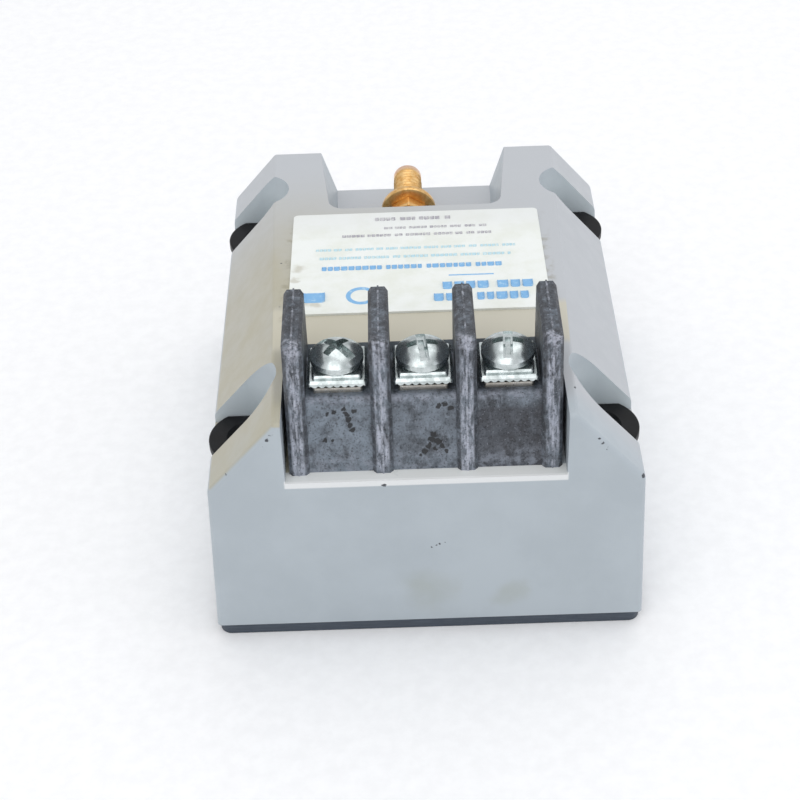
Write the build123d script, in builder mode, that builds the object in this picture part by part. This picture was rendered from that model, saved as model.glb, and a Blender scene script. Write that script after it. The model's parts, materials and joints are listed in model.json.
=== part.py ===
"""Driver module of an eddy-current proximity sensor, in millimetres.

Frame: origin at the centre of the base's underside, +Z up, +Y towards the coaxial jack,
-Y towards the screw terminals, +X to the right of someone facing the terminals.
"""
from build123d import *

import math
import os

# ---- driving dimensions -------------------------------------------------------------------
LENGTH = 75.2                # casting, terminal end to jack end
HALF_LENGTH = LENGTH / 2
PLATE_THICKNESS = 1.95       # insulating plate under the casting
HALF_WIDTH_FOOT = 31.7       # casting, at its lower edge
HALF_WIDTH_SIDE = 30.6       # casting, at the top of its drafted sides
SIDE_TOP = 29.0              # height where the sides turn into the sloped shoulders
TOP_NEAR = 40.75             # height of the top face at the terminal end
TOP_FAR = 37.5               # height of the top face at the jack end
HALF_TOP_NEAR = 20.6         # half width of the top face at the terminal end
SHOULDER_ROUND = 1.8
EDGE_ROUND = 0.7
WALL = 2.2

MOUNT_PITCH = 50.8           # square screw pattern, 2.00 in
MOUNT_HALF = MOUNT_PITCH / 2
SCREW_BORE_R = 2.4           # clearance for a number 8 or M4 screw
SLOT_R = 4.85                # U-shaped screw pocket in each shoulder
SLOT_FLOOR = 27.3
BUSHING_FLANGE = 1.3
BUSHING_FLANGE_R = 5.8
BUSHING_SLEEVE_R = 3.8
BUSHING_LEAD_IN = 0.8        # countersink at the mouth of the bushing
BUSHING_EASE = 0.3
FIT_GAP = 0.1                # clearance between pieces that are assembled and stay put

POCKET_FLOOR = 30.1
POCKET_HALF_WIDTH = 19.6
POCKET_BACK = -18.8
POCKET_CORNER = 0.8

NOTCH_FLOOR = 29.6
NOTCH_ROOT = 19.0            # face of the end wall that carries the jack
NOTCH_HALF_ROOT = 13.5
NOTCH_HALF_TIP = 16.4
NOTCH_HALF_FLOOR = 12.7
NOTCH_CORNER = 2.6
NOTCH_SPLAY = 0.5            # allowance for running the loft past the faces it opens

POST_EDGE = 18.6             # solid corner blocks start this far from the centre lines
LOW_ROOF = 24.7              # cavity roof under the shoulders
MID_ROOF = 27.1              # cavity roof under the pocket and the notch
HIGH_ROOF = 36.9             # cavity roof under the label
HIGH_HALF_X = 17.0
HIGH_HALF_Y = 16.4
CAVITY_ROUND = 1.5
OVERRUN = 1.0                # cuts run on past a face or past their screw by this much

PLATE_HALF_X = 31.45
PLATE_HALF_Y = 37.4
PLATE_CORNER = 1.8
PLATE_SCREW_X = 22.5
PLATE_SCREW_Y = 33.4
PLATE_SCREW_R = 1.25
PLATE_SCREW_LENGTH = 9.0
PLATE_SCREW_HEAD_R = 2.35
PLATE_SCREW_INSET = 0.15     # heads sit this far inside the plate's underside
PLATE_SCREW_POINT = 0.5
PLATE_SCREW_CROSS = 2.4      # recess of the small screws
PLATE_SCREW_CROSS_WIDTH = 0.5
PLATE_SCREW_CROSS_DEPTH = 0.7

LABEL_WIDTH = 38.8
LABEL_DEPTH = 28.1
LABEL_CENTRE_Y = 2.3
LABEL_THICKNESS = 0.35
LABEL_CORNER = 0.8

BAY_PITCH = 11.76
BAY_COUNT = 3
DIVIDER_THICKNESS = 2.8
DIVIDER_TOP = 50.0
DIVIDER_FRONT_FOOT = -36.0
DIVIDER_FRONT_TOP = -31.9
DIVIDER_CHAMFER = 0.45
PARTING_RIDGE = 0.12
STRIP_BACK = -19.2
STRIP_FRONT_FOOT = -35.4
STRIP_FRONT_TOP = -32.8      # the bays lean back a little, as the dividers do
STRIP_DECK = 41.3            # deck that the contacts lie on
STRIP_REAR_DECK = 38.3
STRIP_REAR_FRONT = -23.6
STRIP_NOSE_ROUND = 0.9
SPIGOT_HALF_X = 16.4
SPIGOT_FRONT = -27.2
SPIGOT_BACK = -22.8
SPIGOT_BOTTOM = 26.3

TERMINAL_Y = -28.2           # axis of the terminal screws
THREAD_R = 1.7
THREAD_BORE_R = 1.75
CONTACT_WIDTH = 6.9
CONTACT_DEPTH = 8.0
CONTACT_SETBACK = 0.6        # the contact's centre lies behind its screw
CONTACT_THICKNESS = 0.8
CONTACT_CORNER = 0.4
CONTACT_BOSS_R = 2.7
CONTACT_BOSS_DEPTH = 2.8
CONTACT_TAIL_R = 0.7
CONTACT_TAIL_Y = -25.0
CONTACT_TAIL_END = 23.3
SCREW_WELL_R = 2.1
SCREW_WELL_BOTTOM = 35.9
CLAMP_SIZE = 8.2
CLAMP_THICKNESS = 1.4
CLAMP_PAD = 0.5              # raised pad under the screw head
CLAMP_PAD_SIZE = 6.9
CLAMP_LIP = 0.35             # bevel round the upper edge of the clamp plate
CLAMP_REST_GAP = 0.65        # teeth to contact, the screw most of the way down
CLAMP_TOOTH_DEPTH = 0.3
CLAMP_TEETH = 8
CLAMP_GROOVE_SHARE = 0.7     # groove width as a share of the tooth pitch
CLAMP_BORE_R = 2.0
CLAMP_CORNER = 0.5

HEAD_GAP = 0.05
HEAD_R = 3.7
HEAD_RIM = 1.2
HEAD_HEIGHT = 2.85
HEAD_EDGE = 0.35
SHANK_END = 36.9
SHANK_POINT = 0.4
CROSS_LENGTH = 4.4           # Phillips recess
CROSS_WIDTH = 1.15
CROSS_DEPTH = 1.7
SLOT_LENGTH = 6.0            # straight driver slot across the same recess
SLOT_WIDTH = 1.3
SLOT_DEPTH = 1.3
CROSS_TAPER = 8
SLOT_ANGLES = (138, 96, 87)  # how each screw happens to be turned

STRIP_SCREW_X = BAY_PITCH / 2
STRIP_SCREW_Y = -31.6
STRIP_SCREW_R = 1.3
STRIP_SCREW_REACH = 34.9
STRIP_SCREW_HEAD_R = 2.4
STRIP_SCREW_HEAD = 1.6

JACK_X = -1.0
JACK_Z = 34.8
JACK_WASHER = 0.6
JACK_HEX = 2.6               # length of the wrench hexagon
JACK_HEX_R = 3.2
JACK_FLANGE_R = 4.45
JACK_FLANGE = 1.2
JACK_THREAD_R = 2.35
JACK_THREAD = 8.2
JACK_PILOT_R = 2.05
JACK_PILOT = 1.6
JACK_MOUTH_R = 1.6
JACK_MOUTH_DEPTH = 4.0
JACK_SHANK_R = 2.5
JACK_TAIL_R = 1.75
JACK_CORE_R = 1.3
JACK_PIN_R = 0.5
JACK_TAIL_BACK = 14.6
JACK_PIN_BACK = 13.4
JACK_PIN_SETBACK = 1.8
JACK_EASE = 0.3
JACK_WASHER_R = 3.4
JACK_WASHER_TEETH = 12
JACK_WASHER_TOOTH = 1.0

BOARD_HALF_X = 17.6
BOARD_HALF_Y = 33.4
BOARD_BOTTOM = 9.9
BOARD_THICKNESS = 1.6
BOARD_CORNER = 1.0
BOARD_BOSS_R = 2.6
BOARD_BOSS_X = 14.8
BOARD_BOSS_NEAR = -19.6
BOARD_BOSS_FAR = 29.0
BOARD_SCREW_R = 1.1
BOARD_SCREW_REACH = 7.0
BOARD_SCREW_HEAD_R = 2.2
BOARD_SCREW_HEAD = 1.5

CORE_R = 9.0
CORE_WALL = 1.5
CORE_POST_R = 3.4
CORE_HALF_HEIGHT = 5.2
CORE_END = 1.6
CORE_SPLIT = 0.1
WINDING_GAP = 0.3
CAPACITOR_R = 3.15
CAPACITOR_HEIGHT = 11.0
CAPACITOR_POINTS = [(-13.0, -10.5), (0.0, -14.2), (13.0, -10.5)]
TRANSISTOR_R = 2.3
TRANSISTOR_HEIGHT = 4.8
TRANSISTOR_STANDOFF = 2.6
TRANSISTOR_LEG_R = 0.25
TRANSISTOR_LEG_PITCH = 1.27
TRANSISTOR_POINTS = [(-12.0, 14.5), (-6.0, 18.5), (4.0, 18.5)]
RESISTOR_R = 1.2
RESISTOR_LENGTH = 6.3
RESISTOR_SPAN = 10.2
RESISTOR_LEG_R = 0.3
RESISTOR_POINTS = [(x, y) for y in (24.0, 27.5, 31.0) for x in (-6.0, 6.0)]
TRIMMER_SIZE = 6.6
TRIMMER_HEIGHT = 4.6
TRIMMER_ROTOR = 0.6
TRIMMER_POINT = (12.0, 14.0)
LEAD_R = 0.65
LEAD_NAMES = ("supply_lead", "common_lead", "signal_lead")
JACK_LEAD_DROP_Y = 11.2
JACK_LEAD_BEND = 1.8

# ---- places worked out from them ----------------------------------------------------------
BOARD_TOP = BOARD_BOTTOM + BOARD_THICKNESS
TOP_DIP = math.atan2(TOP_NEAR - TOP_FAR, LENGTH)   # radians
CONTACT_TOP = STRIP_DECK + CONTACT_THICKNESS
CLAMP_BOTTOM = CONTACT_TOP + CLAMP_REST_GAP
CLAMP_TOP = CLAMP_BOTTOM + CLAMP_THICKNESS
HEAD_BOTTOM = CLAMP_TOP + HEAD_GAP
JACK_HEX_START = NOTCH_ROOT + JACK_WASHER
JACK_FLANGE_START = JACK_HEX_START + JACK_HEX
JACK_THREAD_START = JACK_FLANGE_START + JACK_FLANGE
JACK_THREAD_END = JACK_THREAD_START + JACK_THREAD
JACK_TIP = JACK_THREAD_END + JACK_PILOT
ABOVE = TOP_NEAR + 12.0      # clear of everything, for cuts that run out of the top

bay_x = [(index - (BAY_COUNT - 1) / 2) * BAY_PITCH for index in range(BAY_COUNT)]
divider_x = [(index - BAY_COUNT / 2) * BAY_PITCH for index in range(BAY_COUNT + 1)]
mount_points = [(sx * MOUNT_HALF, sy * MOUNT_HALF) for sx in (-1, 1) for sy in (-1, 1)]
plate_screw_points = [(sx * PLATE_SCREW_X, sy * PLATE_SCREW_Y) for sx in (-1, 1) for sy in (-1, 1)]
board_points = [(sx * BOARD_BOSS_X, y) for sx in (-1, 1) for y in (BOARD_BOSS_NEAR, BOARD_BOSS_FAR)]
strip_screw_points = [(-STRIP_SCREW_X, STRIP_SCREW_Y), (STRIP_SCREW_X, STRIP_SCREW_Y)]

# vertical plane through the jack's axis: local x runs along +Y from the origin, local y is +Z
jack_plane = Plane(origin=(JACK_X, 0, JACK_Z), x_dir=(0, 1, 0), z_dir=(1, 0, 0))
jack_axis = Axis((JACK_X, 0, JACK_Z), (0, 1, 0))


def top_height(y):
    """Height of the sloping top face at a distance y from the centre."""
    return TOP_NEAR + (TOP_FAR - TOP_NEAR) * (y + HALF_LENGTH) / LENGTH


def save(piece, label):
    """Label a finished piece and write it as its own file."""
    piece.label = label
    export_step(piece, f"parts/{label}.step")


def rectangle_between(x0, x1, y0, y1):
    """Rectangle in the active sketch, from its limits."""
    with Locations(((x0 + x1) / 2, (y0 + y1) / 2)):
        Rectangle(x1 - x0, y1 - y0)


def drill(points, radius, start, depth):
    """Cut upright round holes through the active part, upwards from a level."""
    with BuildSketch(Plane.XY.offset(start)) as rounds:
        with Locations(*points):
            Circle(radius)
    extrude(rounds.sketch, amount=depth, mode=Mode.SUBTRACT)


def post(points, radius, start, height):
    """Add upright round posts to the active part, upwards from a level."""
    with BuildSketch(Plane.XY.offset(start)) as rounds:
        with Locations(*points):
            Circle(radius)
    extrude(rounds.sketch, amount=height)


os.makedirs("parts", exist_ok=True)

# ---- housing: one die casting, open underneath ---------------------------------------------
with BuildPart() as housing:
    # outer form: drafted sides and sloped shoulders, run from end to end
    with BuildSketch(Plane.XZ.offset(HALF_LENGTH)) as end_profile:
        with BuildLine():
            Polyline(
                (-HALF_WIDTH_FOOT, PLATE_THICKNESS),
                (HALF_WIDTH_FOOT, PLATE_THICKNESS),
                (HALF_WIDTH_SIDE, SIDE_TOP),
                (HALF_TOP_NEAR, TOP_NEAR),
                (-HALF_TOP_NEAR, TOP_NEAR),
                (-HALF_WIDTH_SIDE, SIDE_TOP),
                close=True,
            )
        make_face()
        fillet(end_profile.vertices().group_by(Axis.Y)[1], SHOULDER_ROUND)
    extrude(amount=-LENGTH)

    # the top face dips towards the jack end
    with BuildSketch(Plane.YZ):
        with BuildLine():
            Polyline(
                (-HALF_LENGTH, TOP_NEAR),
                (HALF_LENGTH, TOP_FAR),
                (HALF_LENGTH, ABOVE),
                (-HALF_LENGTH, ABOVE),
                close=True,
            )
        make_face()
    extrude(amount=HALF_WIDTH_FOOT, both=True, mode=Mode.SUBTRACT)

    # every outer edge but the foot is eased, as a casting's edges are
    foot_edges = housing.faces().sort_by(Axis.Z)[0].edges()
    long_rounds = [e for e in housing.edges().filter_by(Axis.Y) if e.center().Z < TOP_FAR - EDGE_ROUND]
    eased = [e for e in housing.edges() if e not in foot_edges and e not in long_rounds]
    fillet(eased, EDGE_ROUND)

    # terminal pocket, open to the front and the top
    with BuildSketch(Plane.XY.offset(POCKET_FLOOR)) as pocket:
        rectangle_between(-POCKET_HALF_WIDTH, POCKET_HALF_WIDTH, -HALF_LENGTH - WALL, POCKET_BACK)
        fillet(pocket.vertices().group_by(Axis.Y)[-1], POCKET_CORNER)
    extrude(amount=ABOVE - POCKET_FLOOR, mode=Mode.SUBTRACT)

    # notch between the two ears at the jack end: its cheeks splay upwards and outwards
    for height, half_root, half_tip, root in (
        (NOTCH_FLOOR, NOTCH_HALF_FLOOR, NOTCH_HALF_FLOOR + NOTCH_SPLAY, NOTCH_ROOT),
        (TOP_NEAR, NOTCH_HALF_ROOT + NOTCH_SPLAY, NOTCH_HALF_TIP + NOTCH_SPLAY, NOTCH_ROOT - NOTCH_SPLAY),
    ):
        with BuildSketch(Plane.XY.offset(height)) as notch_outline:
            with BuildLine():
                Polyline(
                    (-half_root, root),
                    (half_root, root),
                    (half_tip, HALF_LENGTH + WALL),
                    (-half_tip, HALF_LENGTH + WALL),
                    close=True,
                )
            make_face()
            fillet(notch_outline.vertices().group_by(Axis.Y)[0], NOTCH_CORNER)
    loft(ruled=True, mode=Mode.SUBTRACT)

    # U-shaped screw pockets in the shoulders, open at the sides
    with BuildSketch(Plane.XY.offset(SLOT_FLOOR)):
        with Locations(*mount_points):
            Circle(SLOT_R)
        for x, y in mount_points:
            outer = math.copysign(HALF_WIDTH_FOOT + WALL, x)
            rectangle_between(min(x, outer), max(x, outer), y - SLOT_R, y + SLOT_R)
    extrude(amount=ABOVE - SLOT_FLOOR, mode=Mode.SUBTRACT)

    # cavity for the circuit, with solid blocks left at the four corners
    inner_x = HALF_WIDTH_SIDE - WALL
    inner_y = HALF_LENGTH - WALL
    with BuildSketch(Plane.XY.offset(PLATE_THICKNESS)) as low_cavity:
        rectangle_between(-inner_x, inner_x, -POST_EDGE, POST_EDGE)
        rectangle_between(-POST_EDGE, POST_EDGE, -inner_y, inner_y)
        fillet(low_cavity.vertices(), CAVITY_ROUND)
    extrude(amount=LOW_ROOF - PLATE_THICKNESS, mode=Mode.SUBTRACT)
    with BuildSketch(Plane.XY.offset(LOW_ROOF)) as mid_cavity:
        rectangle_between(-POST_EDGE + CAVITY_ROUND, POST_EDGE - CAVITY_ROUND, -inner_y, inner_y)
        fillet(mid_cavity.vertices(), CAVITY_ROUND)
    extrude(amount=MID_ROOF - LOW_ROOF, mode=Mode.SUBTRACT)
    with BuildSketch(Plane.XY.offset(MID_ROOF)) as high_cavity:
        Rectangle(2 * HIGH_HALF_X, 2 * HIGH_HALF_Y)
        fillet(high_cavity.vertices(), CAVITY_ROUND)
    extrude(amount=HIGH_ROOF - MID_ROOF, mode=Mode.SUBTRACT)

    # cast bosses that the circuit board hangs from
    post(board_points, BOARD_BOSS_R, BOARD_TOP, MID_ROOF - BOARD_TOP)
    drill(board_points, BOARD_SCREW_R + FIT_GAP / 2, BOARD_TOP, BOARD_SCREW_REACH + OVERRUN)

    # bores for the mounting bushings, and pilot holes for the plate screws
    drill(mount_points, BUSHING_SLEEVE_R + FIT_GAP, PLATE_THICKNESS, SLOT_FLOOR - PLATE_THICKNESS)
    drill(plate_screw_points, PLATE_SCREW_R + FIT_GAP / 2, PLATE_THICKNESS, PLATE_SCREW_LENGTH)

    # window for the terminal strip's spigot, and the holes of its two fixing screws
    with BuildSketch(Plane.XY.offset(MID_ROOF)):
        window_half = SPIGOT_HALF_X + FIT_GAP
        rectangle_between(-window_half, window_half, SPIGOT_FRONT - FIT_GAP, SPIGOT_BACK + FIT_GAP)
    extrude(amount=POCKET_FLOOR - MID_ROOF, mode=Mode.SUBTRACT)
    drill(strip_screw_points, STRIP_SCREW_R + 2 * FIT_GAP, MID_ROOF, POCKET_FLOOR - MID_ROOF)

    # tapped hole of the jack through the end wall
    with BuildSketch(Plane(origin=(JACK_X, HIGH_HALF_Y, JACK_Z), x_dir=(1, 0, 0), z_dir=(0, 1, 0))):
        Circle(JACK_SHANK_R)
    extrude(amount=NOTCH_ROOT - HIGH_HALF_Y, mode=Mode.SUBTRACT)
save(housing.part, "housing")

# ---- insulating base plate and its countersunk screws --------------------------------------
with BuildPart() as base_plate:
    with BuildSketch():
        RectangleRounded(2 * PLATE_HALF_X, 2 * PLATE_HALF_Y, PLATE_CORNER)
    extrude(amount=PLATE_THICKNESS)
    drill(mount_points, SCREW_BORE_R, 0, PLATE_THICKNESS)
    with Locations(*[Location((x, y, 0), (180, 0, 0)) for x, y in plate_screw_points]):
        CounterSinkHole(PLATE_SCREW_R + FIT_GAP, PLATE_SCREW_HEAD_R + FIT_GAP, 2 * PLATE_THICKNESS)
save(base_plate.part, "base_plate")

with BuildPart() as plate_screws:
    head_depth = PLATE_SCREW_HEAD_R - PLATE_SCREW_R
    with BuildSketch(Plane.XZ):
        with BuildLine():
            Polyline(
                (0, PLATE_SCREW_INSET),
                (PLATE_SCREW_HEAD_R - PLATE_SCREW_INSET, PLATE_SCREW_INSET),
                (PLATE_SCREW_R, head_depth),
                (PLATE_SCREW_R, PLATE_SCREW_LENGTH - PLATE_SCREW_POINT),
                (PLATE_SCREW_R - PLATE_SCREW_POINT, PLATE_SCREW_LENGTH),
                (0, PLATE_SCREW_LENGTH),
                close=True,
            )
        make_face()
    plate_screw = revolve(axis=Axis.Z, mode=Mode.PRIVATE)
    with Locations(*[(x, y, 0) for x, y in plate_screw_points]):
        add(plate_screw)
    with BuildSketch(Plane.XY.offset(PLATE_SCREW_INSET)):
        with Locations(*plate_screw_points):
            Rectangle(PLATE_SCREW_CROSS, PLATE_SCREW_CROSS_WIDTH)
            Rectangle(PLATE_SCREW_CROSS_WIDTH, PLATE_SCREW_CROSS)
    extrude(amount=PLATE_SCREW_CROSS_DEPTH, mode=Mode.SUBTRACT)
save(plate_screws.part, "plate_screws")

# ---- insulating bushings that line the four mounting holes ---------------------------------
with BuildPart() as mount_bushings:
    flange_half = SLOT_R - FIT_GAP
    corner = (MOUNT_HALF, MOUNT_HALF)
    # the flange fills the screw pocket and has a rounded outer end
    with BuildSketch(Plane.XY.offset(SLOT_FLOOR)):
        with Locations(corner):
            Circle(flange_half)
        rectangle_between(
            MOUNT_HALF, MOUNT_HALF + 2 * SLOT_R, MOUNT_HALF - flange_half, MOUNT_HALF + flange_half
        )
        with Locations(corner):
            Circle(BUSHING_FLANGE_R, mode=Mode.INTERSECT)
    extrude(amount=BUSHING_FLANGE)
    fillet(mount_bushings.faces().sort_by(Axis.Z)[-1].edges(), BUSHING_EASE)
    post([corner], BUSHING_SLEEVE_R, PLATE_THICKNESS, SLOT_FLOOR - PLATE_THICKNESS)
    drill([corner], SCREW_BORE_R, PLATE_THICKNESS, ABOVE)
    chamfer(mount_bushings.faces().sort_by(Axis.Z)[-1].inner_wires().edges(), BUSHING_LEAD_IN)
    mirror(about=Plane.YZ)
    mirror(about=Plane.XZ)
save(mount_bushings.part, "mount_bushings")

# ---- label plate on the sloping top --------------------------------------------------------
label_plane = Plane(
    origin=(0, LABEL_CENTRE_Y, top_height(LABEL_CENTRE_Y)),
    x_dir=(1, 0, 0),
    z_dir=(0, math.sin(TOP_DIP), math.cos(TOP_DIP)),
)
with BuildPart() as label_plate:
    with BuildSketch(label_plane):
        RectangleRounded(LABEL_WIDTH, LABEL_DEPTH, LABEL_CORNER)
    extrude(amount=LABEL_THICKNESS)
save(label_plate.part, "label_plate")

# ---- terminal strip: one moulding with four dividers ---------------------------------------
strip_half = BAY_COUNT * BAY_PITCH / 2 + DIVIDER_THICKNESS / 2


def divider_outline(grow):
    """Side view of a divider in the active sketch, grown outwards all round but at the foot."""
    with BuildLine() as outline:
        Polyline(
            (DIVIDER_FRONT_FOOT - grow, POCKET_FLOOR),
            (DIVIDER_FRONT_TOP - grow, DIVIDER_TOP + grow),
            (STRIP_BACK + grow, DIVIDER_TOP + grow),
            (STRIP_BACK + grow, POCKET_FLOOR),
            close=True,
        )
    make_face(outline.edges())


with BuildPart() as one_divider:
    with BuildSketch(Plane.YZ):
        divider_outline(0)
    extrude(amount=DIVIDER_THICKNESS / 2, both=True)
    long_edges = one_divider.edges().filter_by(Axis.X, reverse=True)
    chamfer([e for e in long_edges if e.center().Z > POCKET_FLOOR + FIT_GAP], DIVIDER_CHAMFER)
    # parting line of the mould, a fine ridge down the middle of every edge
    with BuildSketch(Plane.YZ):
        divider_outline(PARTING_RIDGE)
    extrude(amount=PARTING_RIDGE, both=True)

with BuildPart() as terminal_block:
    with BuildSketch(Plane.YZ) as deck_section:
        with BuildLine():
            Polyline(
                (STRIP_FRONT_FOOT, POCKET_FLOOR),
                (STRIP_FRONT_TOP, STRIP_DECK),
                (STRIP_REAR_FRONT, STRIP_DECK),
                (STRIP_REAR_FRONT, STRIP_REAR_DECK),
                (STRIP_BACK, STRIP_REAR_DECK),
                (STRIP_BACK, POCKET_FLOOR),
                close=True,
            )
        make_face()
        nose = deck_section.vertices().group_by(Axis.Y)[-1].sort_by(Axis.X)[0]
        fillet(nose, STRIP_NOSE_ROUND)
    extrude(amount=strip_half - DIVIDER_THICKNESS / 2, both=True)
    with Locations(*[(x, 0, 0) for x in divider_x]):
        add(one_divider.part)
    with BuildSketch(Plane.XY.offset(SPIGOT_BOTTOM)):
        rectangle_between(-SPIGOT_HALF_X, SPIGOT_HALF_X, SPIGOT_FRONT, SPIGOT_BACK)
    extrude(amount=POCKET_FLOOR - SPIGOT_BOTTOM)
    terminal_points = [(x, TERMINAL_Y) for x in bay_x]
    tail_points = [(x, CONTACT_TAIL_Y) for x in bay_x]
    well_top = STRIP_DECK + OVERRUN
    drill(terminal_points, SCREW_WELL_R, SCREW_WELL_BOTTOM, well_top - SCREW_WELL_BOTTOM)
    boss_floor = STRIP_DECK - CONTACT_BOSS_DEPTH - FIT_GAP
    drill(terminal_points, CONTACT_BOSS_R + FIT_GAP / 2, boss_floor, well_top - boss_floor)
    drill(tail_points, CONTACT_TAIL_R + FIT_GAP / 2, SPIGOT_BOTTOM, well_top - SPIGOT_BOTTOM)
    strip_screw_depth = STRIP_SCREW_REACH - POCKET_FLOOR + OVERRUN
    drill(strip_screw_points, STRIP_SCREW_R + FIT_GAP / 2, POCKET_FLOOR, strip_screw_depth)
save(terminal_block.part, "terminal_block")

# the two screws that hold the strip, driven up from inside the housing
with BuildPart() as strip_screws:
    post(strip_screw_points, STRIP_SCREW_HEAD_R, MID_ROOF - STRIP_SCREW_HEAD, STRIP_SCREW_HEAD)
    lower_edges = strip_screws.faces().sort_by(Axis.Z)[:len(strip_screw_points)].edges()
    fillet(lower_edges, STRIP_SCREW_HEAD / 3)
    post(strip_screw_points, STRIP_SCREW_R, MID_ROOF, STRIP_SCREW_REACH - MID_ROOF)
    with BuildSketch(Plane.XY.offset(MID_ROOF - STRIP_SCREW_HEAD)):
        with Locations(*strip_screw_points):
            Rectangle(PLATE_SCREW_CROSS, PLATE_SCREW_CROSS_WIDTH)
            Rectangle(PLATE_SCREW_CROSS_WIDTH, PLATE_SCREW_CROSS)
    extrude(amount=PLATE_SCREW_CROSS_DEPTH, mode=Mode.SUBTRACT)
save(strip_screws.part, "strip_screws")

# ---- the three terminals: contact, clamp plate and screw -----------------------------------
for number, x in enumerate(bay_x, start=1):
    with BuildPart() as contact_plate:
        with BuildSketch(Plane.XY.offset(STRIP_DECK)):
            with Locations((x, TERMINAL_Y + CONTACT_SETBACK)):
                RectangleRounded(CONTACT_WIDTH, CONTACT_DEPTH, CONTACT_CORNER)
        extrude(amount=CONTACT_THICKNESS)
        post([(x, TERMINAL_Y)], CONTACT_BOSS_R, STRIP_DECK - CONTACT_BOSS_DEPTH, CONTACT_BOSS_DEPTH)
        post([(x, CONTACT_TAIL_Y)], CONTACT_TAIL_R, CONTACT_TAIL_END, STRIP_DECK - CONTACT_TAIL_END)
        drill([(x, TERMINAL_Y)], THREAD_BORE_R, STRIP_DECK - CONTACT_BOSS_DEPTH, well_top)
    save(contact_plate.part, f"contact_plate_{number}")

    with BuildPart() as clamp_plate:
        # square plate with eased upper edges, and a smaller raised pad under the screw head
        with BuildSketch(Plane.XY.offset(CLAMP_BOTTOM)):
            with Locations((x, TERMINAL_Y)):
                RectangleRounded(CLAMP_SIZE, CLAMP_SIZE, CLAMP_CORNER)
        extrude(amount=CLAMP_THICKNESS - CLAMP_PAD)
        chamfer(clamp_plate.faces().sort_by(Axis.Z)[-1].edges(), CLAMP_LIP)
        with BuildSketch(Plane.XY.offset(CLAMP_TOP - CLAMP_PAD)):
            with Locations((x, TERMINAL_Y)):
                RectangleRounded(CLAMP_PAD_SIZE, CLAMP_PAD_SIZE, CLAMP_CORNER)
        extrude(amount=CLAMP_PAD)
        chamfer(clamp_plate.faces().sort_by(Axis.Z)[-1].edges(), CLAMP_PAD / 2)
        drill([(x, TERMINAL_Y)], CLAMP_BORE_R, CLAMP_BOTTOM, CLAMP_THICKNESS)
        # teeth across the underside that bite the wire
        tooth_pitch = CLAMP_SIZE / CLAMP_TEETH
        groove_half = tooth_pitch * CLAMP_GROOVE_SHARE / 2
        with BuildSketch(Plane.XZ.offset(-TERMINAL_Y + CLAMP_SIZE)):
            for tooth in range(CLAMP_TEETH):
                centre = x + (tooth - (CLAMP_TEETH - 1) / 2) * tooth_pitch
                with BuildLine():
                    Polyline(
                        (centre - groove_half, CLAMP_BOTTOM),
                        (centre + groove_half, CLAMP_BOTTOM),
                        (centre, CLAMP_BOTTOM + CLAMP_TOOTH_DEPTH),
                        close=True,
                    )
                make_face()
        extrude(amount=-2 * CLAMP_SIZE, mode=Mode.SUBTRACT)
    save(clamp_plate.part, f"clamp_plate_{number}")

    with BuildPart() as terminal_screw:
        # pan head with a domed top, and a plain shank at the thread's outer diameter
        dome_rise = HEAD_HEIGHT - HEAD_RIM
        dome_r = (HEAD_R**2 + dome_rise**2) / (2 * dome_rise)
        dome_centre = HEAD_BOTTOM + HEAD_HEIGHT - dome_r
        rim_angle = math.degrees(math.atan2(HEAD_BOTTOM + HEAD_RIM - dome_centre, HEAD_R))
        screw_axis = Axis((x, TERMINAL_Y, 0), (0, 0, 1))
        with BuildSketch(Plane(origin=(x, TERMINAL_Y, 0), x_dir=(1, 0, 0), z_dir=(0, -1, 0))):
            with BuildLine():
                dome = CenterArc((0, dome_centre), dome_r, rim_angle, 90 - rim_angle)
                Polyline(
                    dome @ 1,
                    (0, SHANK_END),
                    (THREAD_R - SHANK_POINT, SHANK_END),
                    (THREAD_R, SHANK_END + SHANK_POINT),
                    (THREAD_R, HEAD_BOTTOM),
                    (HEAD_R - HEAD_EDGE, HEAD_BOTTOM),
                    (HEAD_R, HEAD_BOTTOM + HEAD_EDGE),
                    dome @ 0,
                )
            make_face()
        revolve(axis=screw_axis)
        head_top = HEAD_BOTTOM + HEAD_HEIGHT
        turned = SLOT_ANGLES[number - 1]
        with BuildSketch(Plane.XY.offset(head_top)):
            with Locations(Location((x, TERMINAL_Y, 0), turned)):
                Rectangle(SLOT_LENGTH, SLOT_WIDTH)
        extrude(amount=-SLOT_DEPTH, mode=Mode.SUBTRACT)
        with BuildSketch(Plane.XY.offset(head_top)):
            for angle in (turned, turned + 90):
                with Locations(Location((x, TERMINAL_Y, 0), angle)):
                    Rectangle(CROSS_LENGTH, CROSS_WIDTH)
        extrude(amount=-CROSS_DEPTH, taper=CROSS_TAPER, mode=Mode.SUBTRACT)
    save(terminal_screw.part, f"terminal_screw_{number}")

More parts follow.
